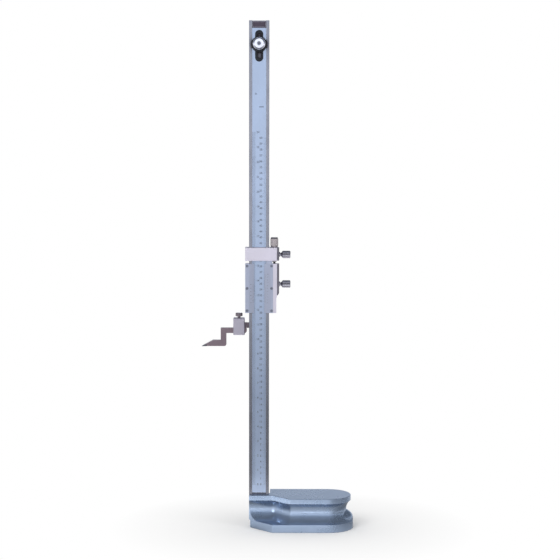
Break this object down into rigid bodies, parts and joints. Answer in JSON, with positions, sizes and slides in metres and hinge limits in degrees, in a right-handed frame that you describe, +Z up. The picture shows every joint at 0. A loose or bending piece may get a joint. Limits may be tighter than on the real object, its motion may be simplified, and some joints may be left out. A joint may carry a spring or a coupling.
{
  "type": "height gauge",
  "caption": "Vernier height gauge: slotted steel column on a grooved iron base, adjustable main scale, sliding head with fine feed, and a clamped carbide-tipped scriber.",
  "frame": {"origin": "on the column's centre line, in the plane the base stands on", "axes": "+X along the base towards its rounded end, +Y to the back of the column, +Z up the column"},
  "size_m": [0.2638, 0.0884, 0.875],
  "materials": {
    "base_iron": "satin blue-grey finish over fine machined cast iron",
    "column_steel": "satin ground steel, slightly darker than the scale",
    "scale_steel": "satin chromed steel with fine engraved graduations",
    "head_steel": "satin chromed steel",
    "vernier_steel": "satin chromed steel with engraved vernier lines",
    "side_plate_steel": "ground steel, dull",
    "scriber_steel": "ground hardened steel",
    "clamp_steel": "satin steel",
    "carbide": "ground tungsten carbide",
    "knob_chrome": "bright chrome, straight knurled",
    "blackened": "black oxide",
    "pinion_brass": "machined brass",
    "gib_bronze": "flat bronze strip",
    "screw_steel": "machined steel",
    "label_dark": "bare dark satin label plate"
  },
  "bodies": {
    "stand": {"base": "base_iron", "column": "column_steel", "column_screws": "screw_steel", "column_dowels": "screw_steel", "label_plate": "label_dark", "lock_stud": "screw_steel"},
    "scale": {"main_scale": "scale_steel", "scale_rack": "blackened"},
    "adjuster": {"adjust_pinion": "pinion_brass", "adjust_wheel": "blackened"},
    "lock": {"lock_knob": "knob_chrome", "lock_washer": "screw_steel"},
    "carrier_block": {"carrier": "head_steel", "carrier_back": "head_steel", "carrier_back_screws": "screw_steel", "carrier_gib": "gib_bronze", "carrier_side_plate": "side_plate_steel", "carrier_side_screws": "screw_steel"},
    "carrier_lock": {"carrier_clamp_screw": "knob_chrome"},
    "feed": {"feed_nut": "knob_chrome", "feed_nut_clip": "screw_steel"},
    "slider": {"slider_body": "head_steel", "slider_gib": "gib_bronze", "left_vernier": "vernier_steel", "right_vernier": "vernier_steel", "vernier_screws": "screw_steel", "slider_side_plate": "side_plate_steel", "slider_side_screws": "screw_steel", "feed_screw": "screw_steel"},
    "slider_lock": {"slider_clamp_screw": "knob_chrome"},
    "clamp": {"scriber_clamp": "clamp_steel"},
    "clamp_screw": {"scriber_clamp_screw": "knob_chrome"},
    "scriber_bar": {"scriber": "scriber_steel", "scriber_tip": "carbide"}
  },
  "joints": [
    {"name": "head_travel", "type": "slide", "parent": "stand", "child": "carrier_block", "axis": [0, 0, 1], "range_m": [-0.3145, 0.293]},
    {"name": "fine_feed", "type": "slide", "parent": "carrier_block", "child": "slider", "axis": [0, 0, 1], "range_m": [-0.0025, 0.0025]},
    {"name": "feed_nut_turn", "type": "hinge", "parent": "carrier_block", "child": "feed", "pos_m": [0.0262, -0.0045, 0.49], "axis": [0, 0, 1], "range_deg": [-1300, 1300]},
    {"name": "zero_setting", "type": "slide", "parent": "stand", "child": "scale", "axis": [0, 0, 1], "range_m": [-0.0035, 0.011]},
    {"name": "adjuster_turn", "type": "hinge", "parent": "stand", "child": "adjuster", "pos_m": [0, -0.009, 0.8348], "axis": [0, 1, 0], "range_deg": [-60, 185]},
    {"name": "scale_lock_turn", "type": "hinge", "parent": "stand", "child": "lock", "pos_m": [0, -0.016, 0.8348], "axis": [0, -1, 0], "range_deg": [0, 360]},
    {"name": "carrier_lock_turn", "type": "hinge", "parent": "carrier_block", "child": "carrier_lock", "pos_m": [0.04, 0.0025, 0.4766], "axis": [1, 0, 0], "range_deg": [0, 360]},
    {"name": "slider_lock_turn", "type": "hinge", "parent": "slider", "child": "slider_lock", "pos_m": [0.04, 0, 0.4258], "axis": [1, 0, 0], "range_deg": [0, 360]},
    {"name": "clamp_slide", "type": "slide", "parent": "slider", "child": "clamp", "axis": [1, 0, 0], "range_m": [-0.004, 0.006]},
    {"name": "clamp_screw_turn", "type": "hinge", "parent": "clamp", "child": "clamp_screw", "pos_m": [-0.03495, 0.012, 0.37], "axis": [0, 0, 1], "range_deg": [0, 360]},
    {"name": "scriber_slide", "type": "slide", "parent": "clamp", "child": "scriber_bar", "axis": [1, 0, 0], "range_m": [-0.012, 0.01]}
  ],
  "couplings": [
    {"joint": "feed_nut_turn", "follows": "fine_feed", "rad_per_m": 8976},
    {"joint": "adjuster_turn", "follows": "zero_setting", "rad_per_m": 285.71}
  ]
}
